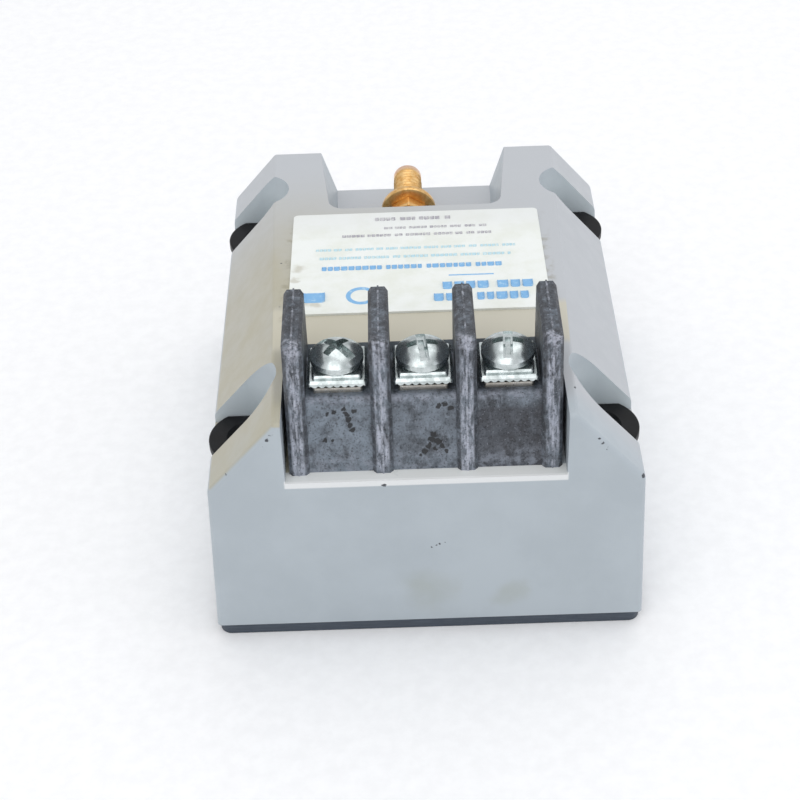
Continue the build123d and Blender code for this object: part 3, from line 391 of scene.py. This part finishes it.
def ink(name, dark, pale, wear):
    """Screen-printed ink: flat and thin, rubbed through to the film in specks."""
    material, tree, shader, mm = new_material(name, ior=1.5)
    rubbed = patches(tree, mm, 0.7, wear - 0.12, wear + 0.1, detail=7.0, roughness=0.7)
    colour = over(tree, tint(dark), pale, rubbed)
    thin = add(tree, "TexNoise", {"Vector": mm, "Scale": 1 / 0.7, "Detail": 7.0})
    finish_with(tree, shader, colour, patches(tree, mm, 0.7, 0.3, 0.7, 0.36, 0.5), thin, 0.01, 0.3)
    return material


def slate_laminate():
    """Paper and resin laminate, sawn: blue-grey, with fine layers along its edge."""
    material, tree, shader, mm = new_material("slate_laminate", ior=1.53)
    links = {"Vector": mm, "Scale": 0.9, "Distortion": 1.2, "Detail": 3.0}
    layers = add(tree, "TexWave", links, out="Fac", bands_direction="Z")
    grain = streaks(tree, mm, (0.15, 0.15, 2.0), 0.7, 0.3, 0.7)
    share = add(tree, "Math", {0: layers, 1: grain}, **TIMES)
    colour = over(tree, tint("#39424D"), "#4A5461", share)
    finish_with(tree, shader, colour, patches(tree, mm, 2.0, 0.3, 0.7, 0.45, 0.62), share, 0.03, 0.5)
    return material


def moulded_nylon():
    """Injection-moulded black nylon: dark, softly shining, with a fine spark-eroded texture."""
    material = moulded("moulded_nylon", "#08080A", "#141518", 0.3, 0.42, ior=1.53)
    material.node_tree.nodes["Principled BSDF"].inputs["Specular IOR Level"].default_value = 0.22
    return material


# ---- finishes of what is inside -------------------------------------------------------------
def moulded(name, dark, pale, grain, roughness, ior=1.5, metallic=0.0):
    """A moulded, drawn or sintered surface: two close tones, and fine relief of one grain size in mm."""
    material, tree, shader, mm = new_material(name, metallic=metallic, ior=None if metallic else ior)
    fine = add(tree, "TexNoise", {"Vector": mm, "Scale": 1 / grain, "Detail": 4.0})
    colour = over(tree, tint(dark), pale, patches(tree, mm, grain * 9, 0.36, 0.64))
    sheen = patches(tree, mm, grain * 9, 0.3, 0.7, roughness, roughness + 0.1)
    finish_with(tree, shader, colour, sheen, fine, 0.02, 0.4)
    return material


def solder_mask():
    """Glass-epoxy board under green solder mask: paler tracks show through, on a 5.08 mm grid."""
    material, tree, shader, mm = new_material("solder_mask", ior=1.52)
    links = {"Vector": mm, "Scale": 1 / 5.08, "Mortar Size": 0.09, "Color1": tint("#1C5A34"),
             "Color2": tint("#17502E"), "Mortar": tint("#2E7A48")}
    tracks = add(tree, "TexBrick", links, offset=0.5)
    colour = over(tree, tracks, "#3B8A58", patches(tree, mm, 0.4, 0.4, 0.7, 0.0, 0.25))
    raised = tracks.node.outputs["Fac"]
    finish_with(tree, shader, colour, patches(tree, mm, 0.4, 0.3, 0.7, 0.28, 0.38), raised, 0.04, 0.6)
    return material


def wound_copper():
    """Enamelled copper wire, wound: warm metal in level turns 0.4 mm apart."""
    material, tree, shader, mm = new_material("wound_copper", metallic=1.0)
    links = {"Vector": mm, "Scale": 0.8, "Distortion": 0.5}
    turns = add(tree, "TexWave", links, out="Fac", bands_direction="Z")
    crests = add(tree, "MapRange", {0: turns, 1: 0.1, 2: 0.8}, **SMOOTH)
    colour = over(tree, tint("#5E2A12"), "#C8743C", crests)
    finish_with(tree, shader, colour, patches(tree, mm, 0.6, 0.3, 0.7, 0.26, 0.36), turns, 0.15, 1.0)
    return material


def banded_lacquer():
    """Dipped lacquer on a resistor: tan, with darker value bands 1.3 mm apart across it."""
    material, tree, shader, mm = new_material("banded_lacquer", ior=1.5)
    links = {"Vector": mm, "Scale": 0.24, "Distortion": 0.0}
    bands = add(tree, "TexWave", links, out="Fac", bands_direction="X")
    colour = over(tree, tint("#C9A775"), "#B8935F", patches(tree, mm, 1.5, 0.35, 0.65))
    colour = over(tree, colour, "#6B2E1B", add(tree, "MapRange", {0: bands, 1: 0.8, 2: 0.86}, **SMOOTH))
    skin = add(tree, "TexNoise", {"Vector": mm, "Scale": 1 / 1.5, "Detail": 4.0})
    finish_with(tree, shader, colour, patches(tree, mm, 1.5, 0.3, 0.7, 0.24, 0.34), skin, 0.03, 0.4)
    return material


finishes = {
    "painted_casting": enamelled_casting(),
    "plate_laminate": slate_laminate(),
    "bushing_nylon": moulded_nylon(),
    "label_film": printed_film(),
    "strip_phenolic": worn_phenolic(),
    "zinc_steel": bright_zinc(),
    "tinned_brass": dull_tin(),
    "gilt_brass": gold_flash(),
    "ptfe": moulded("turned_ptfe", "#D9D9D4", "#E8E8E4", 0.3, 0.4, ior=1.35),
    "dark_steel": moulded("black_oxide_steel", "#3A3A3C", "#4C4C50", 0.2, 0.34, metallic=1.0),
    "board_laminate": solder_mask(),
    "ferrite": moulded("sintered_ferrite", "#2B2B2E", "#3A3A3E", 0.25, 0.5, ior=2.0),
    "enamelled_copper": wound_copper(),
    "capacitor_sleeve": moulded("shrunk_sleeve", "#1B2C5C", "#24397A", 0.5, 0.26),
    "epoxy_black": moulded("moulded_epoxy", "#1D1D1F", "#2A2A2D", 0.2, 0.42),
    "resistor_lacquer": banded_lacquer(),
    "trimmer_blue": moulded("moulded_thermoset", "#1F4C9A", "#2A5DB4", 0.3, 0.36),
    "wire_red": moulded("red_vinyl", "#9E1E17", "#B42A20", 0.4, 0.32),
    "wire_black": moulded("black_vinyl", "#1A1A1B", "#262628", 0.4, 0.32),
    "wire_white": moulded("white_vinyl", "#D8D8D2", "#E6E6E1", 0.4, 0.32),
}
for part in frame["record"]["subparts"]:
    mesh = nodes[part["node"]].data
    mesh.materials.clear()
    mesh.materials.append(finishes[part["material_slot"]])


# ---- helpers for new pieces -----------------------------------------------------------------
def piece_from(shape, name, body, material, smooth_angle=None):
    """Close a bmesh as a finished piece that rides on a body."""
    bmesh.ops.remove_doubles(shape, verts=shape.verts, dist=1e-7)
    bmesh.ops.recalc_face_normals(shape, faces=shape.faces)
    mesh = bpy.data.meshes.new(name)
    shape.to_mesh(mesh)
    shape.free()
    mesh.materials.append(material)
    if smooth_angle:
        mesh.polygons.foreach_set("use_smooth", [True] * len(mesh.polygons))
        mesh.set_sharp_from_angle(angle=math.radians(smooth_angle))
    made = bpy.data.objects.new(name, mesh)
    bpy.context.scene.collection.objects.link(made)
    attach(made, body)
    return made


def lathe(shape, profile, axis, centre, steps=64):
    """Turn a profile of (distance along, radius) points, ending where it began, round an axis as a skin."""
    side = axis.orthogonal().normalized()
    verts = [shape.verts.new(centre + axis * along + side * radius) for along, radius in profile]
    edges = [shape.edges.new(pair) for pair in zip(verts, verts[1:])]
    bmesh.ops.spin(shape, geom=verts + edges, cent=centre, axis=axis, angle=2 * math.pi, steps=steps,
                   use_merge=True)


def thread(shape, axis, centre, start, length, root, crest, pitch, steps=32):
    """A V-shaped helical ridge round an axis, closed at both ends."""
    side = axis.orthogonal().normalized()
    half = pitch * 0.46
    tip = pitch * 0.08
    sunk = root * 0.97        # the foot of the ridge lies inside the barrel
    points = [
        (-half, root), (-tip, crest), (tip, crest), (half, root), (half * 0.5, sunk), (-half * 0.5, sunk),
    ]
    verts = [shape.verts.new(centre + axis * (start + along) + side * radius) for along, radius in points]
    face = shape.faces.new(verts)
    turns = length / pitch
    count = int(turns * steps)
    geom = [face] + list(face.edges) + verts
    bmesh.ops.spin(shape, geom=geom, cent=centre, axis=axis, dvec=axis * (length / count),
                   angle=2 * math.pi * turns, steps=count, use_duplicate=False)


# ---- the coaxial jack, with its real thread --------------------------------------------------
jack_axis = Vector((0, 1, 0))
jack_centre = Vector(((jack_low.x + jack_high.x) / 2, 0, (jack_low.z + jack_high.z) / 2)) * MM
jack_back, jack_tip = jack_low.y * MM, jack_high.y * MM
core_r, tail_r, shank_r, mouth_r = 1.35 * MM, 1.75 * MM, 2.45 * MM, 1.6 * MM
pilot_length, thread_length, flange_width, hex_length = 1.6 * MM, 8.2 * MM, 1.2 * MM, 2.6 * MM
pilot_start = jack_tip - pilot_length
flange_front = pilot_start - thread_length
flange_back = flange_front - flange_width
hex_back = flange_back - hex_length
shank_back = jack_back + 1.8 * MM
mouth_depth = 4.0 * MM
thread_r, thread_root, thread_pitch = 2.35 * MM, 2.14 * MM, 0.79 * MM
pilot_r = 2.3 * MM
flange_r, hex_r = 4.45 * MM, 3.2 * MM
ease = 0.25 * MM

jack = bmesh.new()
lathe(jack, [
    (jack_back, core_r), (jack_back, tail_r), (shank_back, tail_r), (shank_back, shank_r),
    (flange_back, shank_r), (flange_back, flange_r - ease), (flange_back + ease * 0.3, flange_r - ease * 0.3),
    (flange_back + ease, flange_r), (flange_front - ease, flange_r),
    (flange_front - ease * 0.3, flange_r - ease * 0.3), (flange_front, flange_r - ease),
    (flange_front, thread_root + ease), (flange_front + ease, thread_root),
    (pilot_start - ease, thread_root), (pilot_start, pilot_r), (jack_tip - ease, pilot_r),
    (jack_tip - ease * 0.3, pilot_r - ease * 0.3), (jack_tip, pilot_r - ease), (jack_tip, mouth_r),
    (jack_tip - mouth_depth, mouth_r), (jack_tip - mouth_depth, core_r), (jack_back, core_r),
], jack_axis, jack_centre)
thread_start = flange_front + 0.6 * MM
thread_run = pilot_start - thread_start - 0.5 * MM
thread(jack, jack_axis, jack_centre, thread_start, thread_run, thread_root, thread_r, thread_pitch)
hexagon = bmesh.ops.create_circle(jack, cap_ends=True, segments=6, radius=hex_r)["verts"]
onto_axis = Matrix.Translation(jack_centre + jack_axis * hex_back) @ Matrix.Rotation(-math.pi / 2, 4, "X")
bmesh.ops.transform(jack, matrix=onto_axis, verts=hexagon)
cap = list(hexagon[0].link_faces)
raised = bmesh.ops.extrude_face_region(jack, geom=cap)["geom"]
hex_top = [v for v in raised if isinstance(v, bmesh.types.BMVert)]
bmesh.ops.translate(jack, vec=jack_axis * (flange_back - hex_back), verts=hex_top)
hex_edges = list(dict.fromkeys(e for v in hexagon + hex_top for e in v.link_edges))
bmesh.ops.bevel(jack, geom=hex_edges, offset=0.18 * MM, affect="EDGES", segments=3, profile=0.5, material=-1)
gilt = finishes["gilt_brass"]
threaded_jack = piece_from(jack, "threaded_jack", "body", gilt, smooth_angle=32)
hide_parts("jack_body")


# ---- print on the label: plain bars and shapes in place of words ------------------------------
LABEL_THICKNESS = 0.35
label_slope = (label_high.z - label_low.z - LABEL_THICKNESS) / (label_high.y - label_low.y)
label_middle = (label_low + label_high) / 2 * MM
label_middle.z += LABEL_THICKNESS / 2 * MM
onto_label = Matrix.Translation(label_middle) @ Matrix.Rotation(-math.atan(label_slope), 4, "X")
INK_LIFT = 0.012 * MM     # height of the print above the film, and its depth below it
CORNER_SHARE = 0.16       # a bar's corner radius, as a share of its height


def bar(shape, left, right, middle, height):
    """One printed bar on the label, in millimetres from its centre."""
    made = bmesh.ops.create_cube(shape, size=1.0)["verts"]
    place = Matrix.Translation(((left + right) / 2 * MM, middle * MM, 0))
    size = Matrix.Diagonal(((right - left) * MM, height * MM, 2 * INK_LIFT, 1))
    bmesh.ops.transform(shape, matrix=onto_label @ place @ size, verts=made)
    edges = dict.fromkeys(e for v in made for e in v.link_edges)
    upright = [e for e in edges if abs((e.verts[0].co - e.verts[1].co).z) > INK_LIFT]
    bmesh.ops.bevel(shape, geom=upright, offset=height * CORNER_SHARE * MM, affect="EDGES", segments=2,
                    profile=0.5, material=-1)


def words(shape, rows, seed):
    """Rows of uneven groups of short bars: (left, right, middle, height, fewest, most bars in a group)."""
    draw = random.Random(seed)
    for left, right, middle, height, fewest, most in rows:
        at = left
        while at < right:
            for _ in range(draw.randint(fewest, most)):
                width = height * draw.uniform(0.5, 0.85)
                if at + width < right:
                    bar(shape, at, at + width, middle, height)
                at += width + height * 0.2
            at += height * draw.uniform(0.4, 0.7)


def ring(shape, middle, outer, inner):
    """A flat printed ring on the label, in millimetres."""
    centre = onto_label @ Vector((middle[0] * MM, middle[1] * MM, 0))
    up = (onto_label.to_3x3() @ Vector((0, 0, 1))).normalized()
    low, high = -INK_LIFT, INK_LIFT
    hole, rim = inner * MM, outer * MM
    lathe(shape, [(low, hole), (high, hole), (high, rim), (low, rim), (low, hole)], up, centre, steps=48)


large_print = bmesh.new()
words(large_print, [(2.2, 17.8, -10.7, 2.0, 3, 5), (3.6, 17.8, -7.6, 2.0, 3, 5)], seed=3)
words(large_print, [(-14.6, 13.4, -2.0, 1.15, 5, 9)], seed=5)
bar(large_print, 4.6, 11.4, -4.8, 0.3)
ring(large_print, (-8.6, -9.6), 2.3, 1.6)
bar(large_print, -17.2, -14.0, -9.8, 2.6)
blue = ink("blue_ink", "#7FB6E2", "#B4D6EC", 0.62)
piece_from(large_print, "label_print_blue", "body", blue)

small_print = bmesh.new()
words(small_print, [(-15.0, 14.6, 0.9, 0.75, 2, 6), (-15.6, 15.2, 3.3, 0.7, 2, 5)], seed=7)
pale_blue = ink("pale_blue_ink", "#BBDCE6", "#D6E8EA", 0.55)
piece_from(small_print, "label_print_pale", "body", pale_blue)

stamp_print = bmesh.new()
words(stamp_print, [
    (-11.6, 12.2, 7.2, 0.75, 2, 6), (-5.0, 11.8, 9.3, 0.7, 2, 5), (-6.4, 5.6, 12.0, 1.0, 2, 4),
], seed=11)
grey = ink("grey_ink", "#A9A6AE", "#D2D2D2", 0.52)
piece_from(stamp_print, "label_print_grey", "body", grey)


# ---- stage, light and camera ----------------------------------------------------------------
FLOOR_SIZE = 3.0
FLOOR_DROP = 0.05 * MM    # keeps the floor clear of the base's own underside


def pale_floor():
    """Matt white studio paper under the object."""
    material, tree, shader, mm = new_material("studio_paper", ior=1.45)
    colour = over(tree, tint("#FAFAFA"), "#FFFFFF", patches(tree, mm, 2.5, 0.3, 0.7))
    fibre = add(tree, "TexNoise", {"Vector": mm, "Scale": 1 / 2.5, "Detail": 5.0})
    finish_with(tree, shader, colour, patches(tree, mm, 2.5, 0.3, 0.7, 0.85, 0.9), fibre, 0.01, 0.2)
    shape = bmesh.new()
    bmesh.ops.create_grid(shape, x_segments=1, y_segments=1, size=FLOOR_SIZE)
    bmesh.ops.translate(shape, vec=(0, 0, -FLOOR_DROP), verts=shape.verts)
    mesh = bpy.data.meshes.new("floor")
    shape.to_mesh(mesh)
    shape.free()
    mesh.materials.append(material)
    floor = bpy.data.objects.new("floor", mesh)
    bpy.context.scene.collection.objects.link(floor)


def softbox(name, place, aim, size, power, colour="#FFFFFF"):
    """A large soft lamp."""
    lamp = bpy.data.lights.new(name, "AREA")
    lamp.shape = "SQUARE"
    lamp.size = size
    lamp.energy = power
    lamp.color = tint(colour)[:3]
    holder = bpy.data.objects.new(name, lamp)
    holder.location = place
    holder.rotation_euler = (Vector(aim) - Vector(place)).to_track_quat("-Z", "Y").to_euler()
    bpy.context.scene.collection.objects.link(holder)


pale_floor()
middle = (0.0, 0.0, 0.03)
softbox("key", (-0.12, -0.38, 0.55), middle, 0.45, 0.7)
softbox("overhead", (0.1, 0.2, 0.75), middle, 0.7, 1.3)
softbox("right_fill", (0.6, -0.15, 0.35), middle, 0.5, 0.3, "#EEF2FF")

world = bpy.data.worlds.new("studio")
bpy.context.scene.world = world
world.use_nodes = True
sky = world.node_tree.nodes["Background"]
sky.inputs["Color"].default_value = tint("#FBFCFF")
sky.inputs["Strength"].default_value = 0.77
bpy.context.scene.view_settings.view_transform = "Standard"

CAMERA_PLACE = Vector((-2.2, -212.1, 189.6)) * MM
CAMERA_PITCH = math.radians(39.73)     # below the horizon
CAMERA_YAW = math.radians(0.34)
CAMERA_ROLL = math.radians(-2.13)
CAMERA_LENS = 76.6                     # on a sensor 36 mm wide
camera_data = bpy.data.cameras.new("camera")
camera_data.lens = CAMERA_LENS
camera_data.sensor_width = 36.0
camera_data.clip_start = 0.01
camera = bpy.data.objects.new("camera", camera_data)
turn = (Matrix.Rotation(CAMERA_YAW, 4, "Z") @ Matrix.Rotation(math.pi / 2 - CAMERA_PITCH, 4, "X")
        @ Matrix.Rotation(CAMERA_ROLL, 4, "Z"))
camera.matrix_world = Matrix.Translation(CAMERA_PLACE) @ turn
bpy.context.scene.collection.objects.link(camera)
bpy.context.scene.camera = camera
